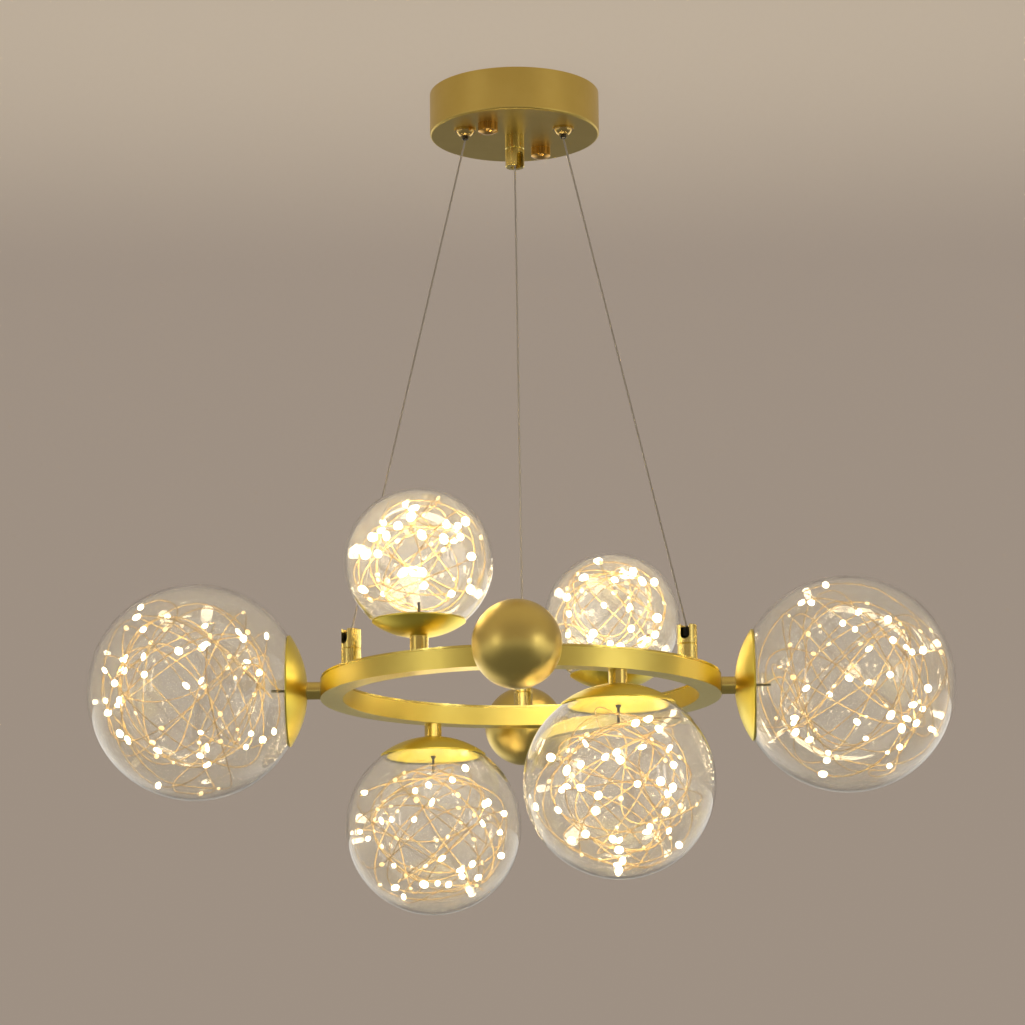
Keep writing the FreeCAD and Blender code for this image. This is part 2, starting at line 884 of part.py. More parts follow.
def make_ball(name, frame):
    """A hollow spun ball with a flat seat and a short socket for the stem's thin end."""
    body = new_body("gold_ball_" + name, *frame)
    radius, wall, seat = size("ball_radius"), size("ball_wall"), size("stem_radius") + gap
    start, away = size("stem_length"), leg(radius, seat)
    socket, depth = stem_hole + wall, start + size("stem_head") + wall
    revolve(
        body,
        [
            (stem_hole, start),
            (seat, start),
            (0, start + away + radius),
            (0, start + away + radius - wall),
            (socket, start + away - leg(radius - wall, socket)),
            (socket, depth),
            (stem_hole, depth),
        ],
        domes=(1, 3),
    )


# ---------------------------------------------------------------------------------------------
# String lights
# ---------------------------------------------------------------------------------------------

WINDINGS = {
    # kind: (loops, tilt of the loops, turn of their plane per loop, beads)
    "large": (9, 58.0, 137.0, 30),
    "middle": (8, 58.0, 139.0, 26),
    "small": (6, 58.0, 139.0, 20),
}
TILT_SWING = 14.0
CORE_SHARE = 0.70
TWISTS = {
    # how far each winding is turned about its arm, in radians
    "left": 3.6,
    "right": 4.2,
    "upper_left": 4.8,
    "upper_right": 5.7,
    "lower_left": 5.4,
    "lower_right": 0.6,
}


def winding_point(step, kind, twist, inner, outer):
    """A point of the wound wire: a great circle whose plane turns and whose radius grows."""
    loops, tilt, turn, _ = WINDINGS[kind]
    share = step / (4.0 * loops)
    angle = step * math.pi / 2 - math.pi / 2
    lean = math.radians(tilt + TILT_SWING * math.sin(angle * 0.31 + twist))
    plane_turn = math.radians(turn) * step / 4 + twist
    radius = inner + (outer - inner) * share
    flat = V(math.cos(angle), math.sin(angle) * math.cos(lean), math.sin(angle) * math.sin(lean)) * radius
    c, s = math.cos(plane_turn), math.sin(plane_turn)
    return V(flat.x * c - flat.y * s, flat.x * s + flat.y * c, flat.z)


def winding_way(step, *how):
    way = winding_point(step + 0.01, *how) - winding_point(step - 0.01, *how)
    return way.normalize()


def arc_from(start, way, stop):
    """The arc that leaves start along way and ends at stop."""
    chord = stop - start
    along = V(chord).normalize()
    lean = max(-1.0, min(1.0, along.dot(way)))
    bulge = way - along * lean
    if bulge.Length < 1e-6:
        return Part.makeLine(start, stop)
    height = chord.Length / 2 * math.tan(math.acos(lean) / 2)
    middle = (start + stop) * 0.5 + bulge.normalize() * height
    return Part.Arc(start, middle, stop).toShape()


def biarc(start, way, stop, end_way):
    """Two arcs that join start and stop, tangent to both given ways and to each other."""
    chord, both = stop - start, way + end_way
    k = 2 * (1 - way.dot(end_way))
    b = chord.dot(both)
    if k < 1e-9:
        reach = chord.dot(chord) / (2 * b)
    else:
        reach = (-b + math.sqrt(b * b + k * chord.dot(chord))) / k
    middle = (start + stop + (way - end_way) * reach) * 0.5
    second = arc_from(stop, end_way * -1, middle)
    return arc_from(start, way, middle), second.reversed()


def string_stations(kind, twist, inner, outer, centre):
    """Points and directions of the wire: straight out of the plate, then round and round."""
    loops = WINDINGS[kind][0]
    how = (kind, twist, inner, outer)
    lead = SIZES["grommet_proud"] + 2 * SIZES["wire_radius"]
    stations = [(V(0, 0, lead), V(0, 0, 1))]
    for step in range(0, 4 * loops + 1):
        stations.append((centre + winding_point(step, *how), winding_way(step, *how)))
    return stations


def least_gap(points, thickness):
    """The least gap of the wire to itself, on points that lie over 8 mm apart along it."""
    lengths = [0.0]
    for a, b in zip(points, points[1:]):
        lengths.append(lengths[-1] + (b - a).Length)
    least = 1e9
    for i, a in enumerate(points):
        for j in range(i + 1, len(points)):
            if lengths[j] - lengths[i] > 8:
                least = min(least, (points[j] - a).Length)
    return least - thickness


def bead_places(points, centre, count):
    """Evenly spread places for the beads, each moved on a little where another turn is too near:
    (point, direction of the wire, direction from the wire to the bead)."""
    places = []
    room = SIZES["bead_width"] * 1.5
    stride = (len(points) - 20) / count
    for number in range(count):
        index = int((number + 0.6) * stride) + 8
        for shift in range(12):
            at = points[index + shift]
            way = (points[index + shift + 1] - points[index + shift - 1]).normalize()
            inward = centre - at
            side = (inward - way * inward.dot(way)).normalize()
            middle = at + side * SIZES["bead_width"]
            others = points[: index + shift - 8] + points[index + shift + 8 :]
            if min((other - middle).Length for other in others) > room:
                places.append((at, way, side))
                break
    return places


def make_bead(at, way, side):
    """One lamp bead, a small eight-sided drop lying along the wire."""
    half, wide = SIZES["bead_length"] / 2, SIZES["bead_width"] / 2
    middle = at + side * (SIZES["wire_radius"] + wide + 0.02)
    other = way.cross(side)
    tips = [middle - way * half, middle + way * half]
    waist = [middle + side * wide, middle + other * wide, middle - side * wide, middle - other * wide]
    faces = []
    for tip in tips:
        for a, b in zip(waist, waist[1:] + waist[:1]):
            faces.append(Part.Face(Part.makePolygon([tip, a, b, tip])))
    return Part.Solid(Part.Shell(faces))


def make_grommet():
    """The plug in the plate's hole, through which the wire comes."""
    radius = SIZES["plate_hole_radius"] - SIZES["fit_gap"]
    low, proud = -SIZES["plate_thickness"], SIZES["grommet_proud"]
    return Part.makeCylinder(radius, proud - low, V(0, 0, low))


def make_string(name, frame, kind, twist):
    """A string of lights wound loosely inside a globe: one unbroken wire with beads along it."""
    edge, away, start = globe_centre(kind)
    reach = SIZES[kind + "_globe_radius"] - SIZES["glass_wall"] - SIZES["string_margin"]
    outer = reach - SIZES["string_lift"]
    centre = V(0, 0, away.value + SIZES["string_lift"])
    stations = string_stations(kind, twist, outer * CORE_SHARE, outer, centre)
    foot = SIZES["grommet_proud"] + 0.02
    edges = [Part.makeLine(V(0, 0, foot), stations[0][0])]
    for (a, way), (b, end_way) in zip(stations, stations[1:]):
        edges.extend(biarc(a, way, b, end_way))
    spine = Part.Wire(edges)
    radius = SIZES["wire_radius"]
    square = [V(radius, 0, foot), V(0, radius, foot), V(-radius, 0, foot), V(0, -radius, foot)]
    section = Part.makePolygon(square + square[:1])
    wire = spine.makePipeShell([section], True, False)
    points = spine.discretize(Distance=1.0)
    least = least_gap(points, 2 * radius)
    print("%s: wire %.0f mm long, least gap to itself %.2f mm" % (name, spine.Length, least))
    beads = [make_bead(*how) for how in bead_places(points, centre, WINDINGS[kind][3])]
    string = doc.addObject("Part::Feature", "light_string_" + name)
    string.Label = "light_string_" + name
    string.Shape = Part.makeCompound([make_grommet(), wire] + beads)
    x, y, z, turn = frame
    lift = (spin(turn) if isinstance(turn, Dim) else turn).multVec(V(0, 0, start.value))
    place(string, x + lift.x, y + lift.y, z + lift.z, turn)
    parts.append(string)


# ---------------------------------------------------------------------------------------------
# The whole chandelier
# ---------------------------------------------------------------------------------------------

make_strap()
make_canopy_screws()
make_canopy()
make_cap_nut("front", -1)
make_cap_nut("back", 1)
make_driver()
for side, x in grippers.items():
    make_gripper(side, x)
    make_nozzle(side, x)

# the coupler under the middle of the canopy, and those on the ring, each with its slot turned
# to the angle at which it happens to be screwed tight
make_coupler("canopy", 0, 0, canopy_face, DOWN.multiply(spin(-40)))
slot_turns = {"left": 131, "right": 164, "back": 180}
for name, angle in couplers.items():
    make_coupler(name, *on_circle(ring_line, angle), ring_top, spin(slot_turns[name]))

cable_low = ring_top + coupler_height - size("coupler_top") - size("slide_gap")
stops, tails = [], []
for name, angle in couplers.items():
    spot = on_circle(ring_line, angle)
    if name == "back":
        high = Dim(0), Dim(0), canopy_face - coupler_height
        tail = coupler_height + size("coupler_cable_tail")
    else:
        high = grippers[name], -size("gripper_front"), canopy_face - nozzle_tip
        tail = size("cable_tail")
    stops.append(make_stop(name, *spot, cable_low - size("stop_length")))
    tails.append(make_tail(name, *high, tail))
    make_cable(name, high, (*spot, cable_low))
together("cable_stops", stops)
together("cable_tails", tails)

make_ring_channel()
make_ring_cover()

for name, way, angle, kind in arms:
    frame = arm_frame(way, angle)
    make_stem(name, frame, size("stem_head"))
    make_cap(name, frame, kind)
    make_plate(name, frame, kind)
    make_globe(name, frame, kind)
    make_string(name, frame, kind, TWISTS[name])

for name, angle in balls:
    frame = arm_frame("out", angle)
    make_stem(name, frame, size("stem_head"))
    make_ball(name, frame)

doc.recompute()
for piece in doc.Objects:
    if "Invalid" in piece.State or "Error" in piece.State:
        raise RuntimeError("%s did not build: %s" % (piece.Label, piece.State))
for piece in parts:
    if piece.Shape.isNull() or not piece.Shape.isValid() or not piece.Shape.Solids:
        raise RuntimeError("%s has no valid solid" % piece.Label)

os.makedirs("parts", exist_ok=True)
for piece in parts:
    piece.Shape.exportStep("parts/%s.step" % piece.Label)
print("%d pieces written" % len(parts))
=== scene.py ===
"""Orb chandelier: a satin gold ring on three cables, with six clear glass globes full of string
lights and two plain gold balls. Metres. +Z is up, -Y is the front."""

import json
import math
import random

import bpy
from mathutils import Matrix, Vector


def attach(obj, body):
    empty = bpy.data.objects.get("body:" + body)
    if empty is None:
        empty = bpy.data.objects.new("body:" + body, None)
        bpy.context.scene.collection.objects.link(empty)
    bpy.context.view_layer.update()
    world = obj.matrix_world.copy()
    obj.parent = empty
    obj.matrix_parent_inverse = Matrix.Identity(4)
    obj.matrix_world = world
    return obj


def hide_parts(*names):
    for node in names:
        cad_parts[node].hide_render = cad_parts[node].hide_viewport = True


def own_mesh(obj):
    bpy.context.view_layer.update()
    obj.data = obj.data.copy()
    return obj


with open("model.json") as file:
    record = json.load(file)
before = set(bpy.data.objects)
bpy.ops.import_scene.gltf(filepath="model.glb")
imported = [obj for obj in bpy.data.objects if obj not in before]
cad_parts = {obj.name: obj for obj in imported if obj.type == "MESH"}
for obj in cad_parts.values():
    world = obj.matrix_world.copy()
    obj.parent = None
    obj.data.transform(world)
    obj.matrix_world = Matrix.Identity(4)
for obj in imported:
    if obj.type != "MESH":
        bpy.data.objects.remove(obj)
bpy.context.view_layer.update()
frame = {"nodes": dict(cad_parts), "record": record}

NODES = frame["nodes"]


# ---------------------------------------------------------------------------------------------
# Camera: the fitted view of the photograph, from below and in front of the ring
# ---------------------------------------------------------------------------------------------

PHOTO = 1025.0  # the photograph's width and height in pixels
SENSOR = 36.0
CAMERA_AT = Vector((0.02988, -2.28251, -0.79019))
CAMERA_PITCH = math.radians(12.147)
CAMERA_HEADING = math.radians(0.859)
CAMERA_ROLL = math.radians(-0.630)
FOCAL_PIXELS = 3425.0


def make_camera():
    data = bpy.data.cameras.new("photo_camera")
    data.sensor_width = SENSOR
    data.lens = FOCAL_PIXELS / PHOTO * SENSOR
    data.clip_end = 50.0
    forward = Vector((
        -math.sin(CAMERA_HEADING) * math.cos(CAMERA_PITCH),
        math.cos(CAMERA_HEADING) * math.cos(CAMERA_PITCH),
        math.sin(CAMERA_PITCH),
    ))
    level_right = forward.cross(Vector((0, 0, 1))).normalized()
    level_up = level_right.cross(forward)
    right = level_right * math.cos(CAMERA_ROLL) + level_up * math.sin(CAMERA_ROLL)
    up = level_up * math.cos(CAMERA_ROLL) - level_right * math.sin(CAMERA_ROLL)
    turn = Matrix((right, up, -forward)).transposed().to_4x4()
    camera = bpy.data.objects.new("photo_camera", data)
    camera.matrix_world = Matrix.Translation(CAMERA_AT) @ turn
    bpy.context.collection.objects.link(camera)
    bpy.context.scene.camera = camera


make_camera()


# ---------------------------------------------------------------------------------------------
# Materials
# ---------------------------------------------------------------------------------------------


def shade(hex_code):
    """An sRGB hex colour as linear light."""
    parts = [int(hex_code[i:i + 2], 16) / 255.0 for i in (1, 3, 5)]
    linear = [p / 12.92 if p <= 0.04045 else ((p + 0.055) / 1.055) ** 2.4 for p in parts]
    return (*linear, 1.0)


def add(tree, kind, sets=None, links=None, **settings):
    """A node with its settings, its input values and what its inputs are linked to."""
    node = tree.nodes.new(kind)
    for name, value in settings.items():
        setattr(node, name, value)
    for key, value in (sets or {}).items():
        node.inputs[key].default_value = value
    for key, source in (links or {}).items():
        tree.links.new(source, node.inputs[key])
    return node


def new_material(name):
    material = bpy.data.materials.new(name)
    material.use_nodes = True
    tree = material.node_tree
    tree.nodes.clear()
    return material, tree


def finish_material(tree, shader):
    add(tree, "ShaderNodeOutputMaterial", links={"Surface": shader.outputs[0]})


def pattern(mm):
    """The scale at which a noise's pattern is this many millimetres across."""
    return 1000.0 / mm


def satin_gold(name, colour, dark, roughness, grain_mm, along=(1, 1, 1), metallic=1.0):
    """Lacquered satin gold plating on steel: a soft, even sheen. The lacquer's slight unevenness
    shows as slow changes of tint, and the brushing below it as a fine grain along the piece."""
    material, tree = new_material(name)
    where = add(tree, "ShaderNodeTexCoord").outputs["Object"]
    stretched = add(tree, "ShaderNodeMapping", {"Scale": along}, {"Vector": where}).outputs[0]
    grain = add(
        tree, "ShaderNodeTexNoise",
        {"Scale": pattern(grain_mm), "Detail": 3.0, "Roughness": 0.6}, {"Vector": stretched},
    ).outputs["Fac"]
    cloud = add(
        tree, "ShaderNodeTexNoise", {"Scale": pattern(22.0), "Detail": 2.0}, {"Vector": where},
    ).outputs["Fac"]
    tint = add(
        tree, "ShaderNodeMix", {"A": shade(dark), "B": shade(colour)}, {"Factor": cloud},
        data_type="RGBA",
    )
    gloss = add(
        tree, "ShaderNodeMapRange",
        {"From Min": 0.3, "From Max": 0.7, "To Min": roughness - 0.04, "To Max": roughness + 0.05},
        {"Value": grain},
    ).outputs[0]
    relief = add(
        tree, "ShaderNodeBump", {"Strength": 0.1, "Distance": 0.00004}, {"Height": grain},
    ).outputs[0]
    shader = add(
        tree, "ShaderNodeBsdfPrincipled", {"Metallic": metallic},
        {"Base Color": tint.outputs["Result"], "Roughness": gloss, "Normal": relief},
    )
    finish_material(tree, shader)
    return material


def blown_glass():
    """Clear blown soda glass: perfectly smooth, with slow waves in the wall that bend the
    highlights, and a trace of haze that shows where the lamps inside light it."""
    material, tree = new_material("clear_blown_glass")
    where = add(tree, "ShaderNodeTexCoord").outputs["Object"]
    waves = add(
        tree, "ShaderNodeTexNoise", {"Scale": pattern(30.0), "Detail": 1.0}, {"Vector": where},
    ).outputs["Fac"]
    relief = add(
        tree, "ShaderNodeBump", {"Strength": 0.25, "Distance": 0.0006}, {"Height": waves},
    ).outputs[0]
    shader = add(
        tree, "ShaderNodeBsdfPrincipled",
        {
            "Base Color": shade("#FBFBF8"), "Roughness": 0.0, "IOR": 1.47,
            "Transmission Weight": 0.925,
        },
        {"Normal": relief},
    )
    finish_material(tree, shader)
    return material


def lacquered_copper():
    """Enamelled copper wire: pale gold where the lamps light it, glossy under a thin lacquer."""
    material, tree = new_material("lacquered_copper_wire")
    where = add(tree, "ShaderNodeTexCoord").outputs["Object"]
    change = add(
        tree, "ShaderNodeTexNoise", {"Scale": pattern(9.0), "Detail": 2.0}, {"Vector": where},
    ).outputs["Fac"]
    tint = add(
        tree, "ShaderNodeMix", {"A": shade("#CC9E54"), "B": shade("#F6DE9C")}, {"Factor": change},
        data_type="RGBA",
    )
    shader = add(
        tree, "ShaderNodeBsdfPrincipled", {"Metallic": 0.7, "Roughness": 0.25},
        {"Base Color": tint.outputs["Result"]},
    )
    finish_material(tree, shader)
    return material


RIM_SHARE = 0.35  # how bright a lamp's rim is against its middle


def lamp_bead(name, colour, strength):
    """A tiny lamp in a drop of clear resin, which shines warm white, brightest in its middle."""
    material, tree = new_material(name)
    edge = add(tree, "ShaderNodeLayerWeight", {"Blend": 0.35}).outputs["Facing"]
    power = add(
        tree, "ShaderNodeMapRange",
        {"From Min": 0.0, "From Max": 1.0, "To Min": strength, "To Max": strength * RIM_SHARE},
        {"Value": edge},
    ).outputs[0]
    shader = add(
        tree, "ShaderNodeBsdfPrincipled",
        {
            "Base Color": shade("#FFF2D8"), "Roughness": 0.2, "IOR": 1.5,
            "Emission Color": shade(colour),
        },
        {"Emission Strength": power},
    )
    finish_material(tree, shader)
    return material


def jacketed_cable():
    """Fine steel rope in a tight clear jacket: pale grey brown, with the soft gloss of plastic."""
    material, tree = new_material("jacketed_steel_rope")
    where = add(tree, "ShaderNodeTexCoord").outputs["Object"]
    change = add(
        tree, "ShaderNodeTexNoise", {"Scale": pattern(14.0), "Detail": 2.0}, {"Vector": where},
    ).outputs["Fac"]
    tint = add(
        tree, "ShaderNodeMix", {"A": shade("#C9BFB0"), "B": shade("#DDD3C4")}, {"Factor": change},
        data_type="RGBA",
    )
    shader = add(
        tree, "ShaderNodeBsdfPrincipled",
        {"Metallic": 0.0, "Roughness": 0.42, "Coat Weight": 0.3, "Coat Roughness": 0.2},
        {"Base Color": tint.outputs["Result"]},
    )
    finish_material(tree, shader)
    return material


def plain_metal(name, colour, roughness, grain_mm):
    """Plated steel with a fine, even grain, for fasteners and small hidden parts."""
    material, tree = new_material(name)
    where = add(tree, "ShaderNodeTexCoord").outputs["Object"]
    grain = add(
        tree, "ShaderNodeTexNoise", {"Scale": pattern(grain_mm), "Detail": 2.0}, {"Vector": where},
    ).outputs["Fac"]
    gloss = add(
        tree, "ShaderNodeMapRange",
        {"From Min": 0.3, "From Max": 0.7, "To Min": roughness - 0.05, "To Max": roughness + 0.06},
        {"Value": grain},
    ).outputs[0]
    shader = add(
        tree, "ShaderNodeBsdfPrincipled", {"Base Color": shade(colour), "Metallic": 1.0},
        {"Roughness": gloss},
    )
    finish_material(tree, shader)
    return material


def moulded_plastic():
    """Moulded ABS: off white, matt, with a fine spark-eroded texture."""
    material, tree = new_material("moulded_abs")
    where = add(tree, "ShaderNodeTexCoord").outputs["Object"]
    spark = add(
        tree, "ShaderNodeTexNoise", {"Scale": pattern(0.8), "Detail": 2.0}, {"Vector": where},
    ).outputs["Fac"]
    relief = add(
        tree, "ShaderNodeBump", {"Strength": 0.3, "Distance": 0.00005}, {"Height": spark},
    ).outputs[0]
    shader = add(
        tree, "ShaderNodeBsdfPrincipled", {"Base Color": shade("#E4E2DC"), "Roughness": 0.55},
        {"Normal": relief},
    )
    finish_material(tree, shader)
    return material


# what each material slot of the record is made of: both tints, roughness and grain in mm
FINISHES = {
    "canopy_gold": satin_gold("satin_gold_canopy", "#D5BC6A", "#C8AC58", 0.36, 1.2, (1, 1, 0.08)),
    "ring_gold": satin_gold("satin_gold_ring", "#F2DF78", "#E8D268", 0.33, 1.0, (1, 1, 6.0)),
    "cover_gold": satin_gold("polished_gold_cover", "#F5E486", "#EDD878", 0.16, 1.0),
    "coupler_gold": satin_gold("turned_gold_coupler", "#F0DC88", "#E0C874", 0.26, 0.8, (1, 1, 0.1)),
    "stem_gold": satin_gold("turned_gold_stem", "#EBD47C", "#DABF66", 0.22, 0.8),
    "cap_gold": satin_gold("spun_gold_cap", "#F6E366", "#EDD656", 0.36, 1.0),
    "ball_gold": satin_gold("satin_gold_ball", "#E8D07A", "#DCC268", 0.34, 0.9),
    "gripper_gold": satin_gold("polished_gold_gripper", "#EACD86", "#D8B468", 0.14, 0.8),
    "nut_gold": satin_gold("polished_bronze_nut", "#E0B468", "#CC9C50", 0.14, 0.8),
    "plate_steel": satin_gold("bright_gold_paint", "#F8E348", "#F2D93C", 0.36, 1.0, metallic=0.35),
    "clear_glass": blown_glass(),
    "cable_jacket": jacketed_cable(),
    "stop_dark": plain_metal("blackened_steel", "#2A2826", 0.42, 1.0),
    "nozzle_dark": plain_metal("dark_nickel", "#5B564C", 0.25, 0.8),
    "zinc_strap": plain_metal("zinc_plated_strap", "#B9BAB8", 0.38, 2.0),
    "zinc_screw": plain_metal("zinc_plated_screw", "#C2C2BE", 0.30, 1.0),
    "driver_white": moulded_plastic(),
}
COPPER = lacquered_copper()
BEAD_BRIGHT = lamp_bead("warm_white_lamp", "#FFEBC4", 40.0)
BEAD_SOFT = lamp_bead("dim_warm_lamp", "#FFD98A", 1.6)
GROMMET = plain_metal("dark_rubber_plug", "#1E1B19", 0.6, 1.0)

for part in frame["record"]["subparts"]:
    finish = FINISHES.get(part["material_slot"])
    if finish is None:  # the strings, which are replaced below
        continue
    mesh = NODES[part["node"]].data
    mesh.materials.clear()
    mesh.materials.append(finish)


# ---------------------------------------------------------------------------------------------
# Light strings: a pair of thin wires wound inside each globe, with tiny lamps along them
# ---------------------------------------------------------------------------------------------

GLASS_WALL = 0.0018
RING_MIDDLE = -0.420
RING_TOP = RING_MIDDLE + 0.0071
RING_BOTTOM = RING_MIDDLE - 0.0071
RING_LINE = 0.1275  # the circle on which the arms and cables stand
RING_OUTER = 0.135
STEM_LENGTH = 0.0095
STRING_MARGIN = 0.003  # least room between the winding and the glass
STRING_LIFT = 0.0035  # how much further from the plate the winding's middle is than the globe's
TILT_SWING = 14.0  # degrees that a loop's tilt swings to each side
SWING_RATE = 0.31  # how often it swings, in swings a loop
CORE_SHARE = 0.70  # radius of the first loop against that of the last
SPRING_OUT = 1.19  # the wire's control points lie outside its curve, so they are spread by this
KINK_SHARE = 0.045  # how far a kink is from the loop, against the globe's radius
LEAD_HEIGHTS = (0.0012, 0.005, 0.010)  # the straight start of the wire above the plate
BARE_LEAD = 0.024  # no lamp is nearer to the plate's middle than this
LEAD_LENGTH = 0.012
LEAD_RADIUS = 0.001
LOWEST_ARC = -0.62  # sine of the lowest latitude that a loose arc touches
ARC_REACH = (1.05, 1.4)  # control points of the loose arcs, against the globe's radius
ARC_HOP = (0.7, 1.9)  # angle from one such point to the next, in radians
ARC_TRIES = 24
NEAR = 0.15  # angle in radians below which wires count as one crowd
LAMP_STRETCH = 0.86  # length of the settled wire against that of its control line
PLATE_ROOM = 0.0025  # least height of the wire above the plate
LAMP_RADIUS = {"up": 0.0026, "down": 0.0022, "out": 0.0022}

SIZES = {
    # size: (cap depth, glass edge radius, globe radius, loops, tilt and turn of the loops,
    #        loose arcs, lamps)
    "large": (0.012, 0.0369, 0.0732, 9, 58.0, 137.0, 22, 74),
    "middle": (0.013, 0.0361, 0.0617, 8, 58.0, 139.0, 20, 64),
    "small": (0.0104, 0.0296, 0.0484, 6, 58.0, 139.0, 18, 66),
}
GLOBES = {
    # name: (size, way the arm points, its angle round the ring, twist of the winding, seed)
    "left": ("large", "out", -90, 3.6, 11),
    "right": ("large", "out", 90, 4.2, 12),
    "upper_left": ("small", "up", -30, 4.8, 13),
    "upper_right": ("small", "up", 150, 5.7, 14),
    "lower_left": ("middle", "down", 210, 5.4, 15),
    "lower_right": ("middle", "down", 30, 0.6, 16),
}


def outward(degrees):
    """The level direction at an angle from the front towards the right."""
    return Vector((math.sin(math.radians(degrees)), -math.cos(math.radians(degrees)), 0))


def arm_frame(way, degrees):
    """Where an arm starts on the ring, and the three axes of what it carries, the last along it."""
    out = outward(degrees)
    across = Vector((-out.y, out.x, 0))
    if way == "up":
        return out * RING_LINE + Vector((0, 0, RING_TOP)), across, -out, Vector((0, 0, 1))
    if way == "down":
        return out * RING_LINE + Vector((0, 0, RING_BOTTOM)), across, out, Vector((0, 0, -1))
    start = out * RING_OUTER + Vector((0, 0, RING_MIDDLE))
    return start, -across, Vector((0, 0, 1)), out


def wound(step, loops, tilt, turn, twist, inner, outer):
    """A point of the winding: a great circle whose plane turns and whose radius grows."""
    angle = (step - 1) * math.pi / 2
    lean = math.radians(tilt + TILT_SWING * math.sin(angle * SWING_RATE + twist))
    plane_turn = math.radians(turn) * step / 4 + twist
    radius = inner + (outer - inner) * step / (4.0 * loops)
    flat = Vector((
        math.cos(angle), math.sin(angle) * math.cos(lean), math.sin(angle) * math.sin(lean),
    ))
    return Matrix.Rotation(plane_turn, 3, "Z") @ flat * radius


def loose_arcs(count, dice):
    """Directions for wire that sprang loose against the glass, each where there is least wire."""
    seen, here = [], Vector((0, 0, 1))
    while len(seen) < count:
        best, least = None, 1e9
        for _ in range(ARC_TRIES):
            height = dice.uniform(LOWEST_ARC, 1.0)
            angle = dice.uniform(0, 2 * math.pi)
            flat = math.sqrt(1 - height * height)
            spot = Vector((math.cos(angle) * flat, math.sin(angle) * flat, height))
            if not ARC_HOP[0] < spot.angle(here) < ARC_HOP[1]:
                continue
            crowd = sum(1.0 / (NEAR + spot.angle(other)) ** 2 for other in seen)
            if crowd < least:
                best, least = spot, crowd
        if best is not None:
            seen.append(best)
            here = best
    return seen


def winding(size, twist, dice):
    """Control points of one string in the arm's own frame: it comes out of the plate's middle,
    goes round and round, ever wider, and ends in loose arcs along the glass."""
    _, edge, radius, loops, tilt, turn, loose, _ = SIZES[size]
    away = math.sqrt(radius ** 2 - edge ** 2)
    outer = radius - GLASS_WALL - STRING_MARGIN - STRING_LIFT
    inner = outer * CORE_SHARE
    middle = Vector((0, 0, away + STRING_LIFT))
    points = [Vector((0, 0, height)) for height in LEAD_HEIGHTS]
    for half_step in range(8 * loops + 1):
        spot = wound(half_step / 2, loops, tilt, turn, twist, inner, outer) * SPRING_OUT
        kink = Vector((dice.gauss(0, 1), dice.gauss(0, 1), dice.gauss(0, 1))) * radius * KINK_SHARE
        points.append(middle + spot + kink)
    for way in loose_arcs(loose, dice):
        points.append(Vector((0, 0, away)) + way * radius * dice.uniform(*ARC_REACH))
    return points


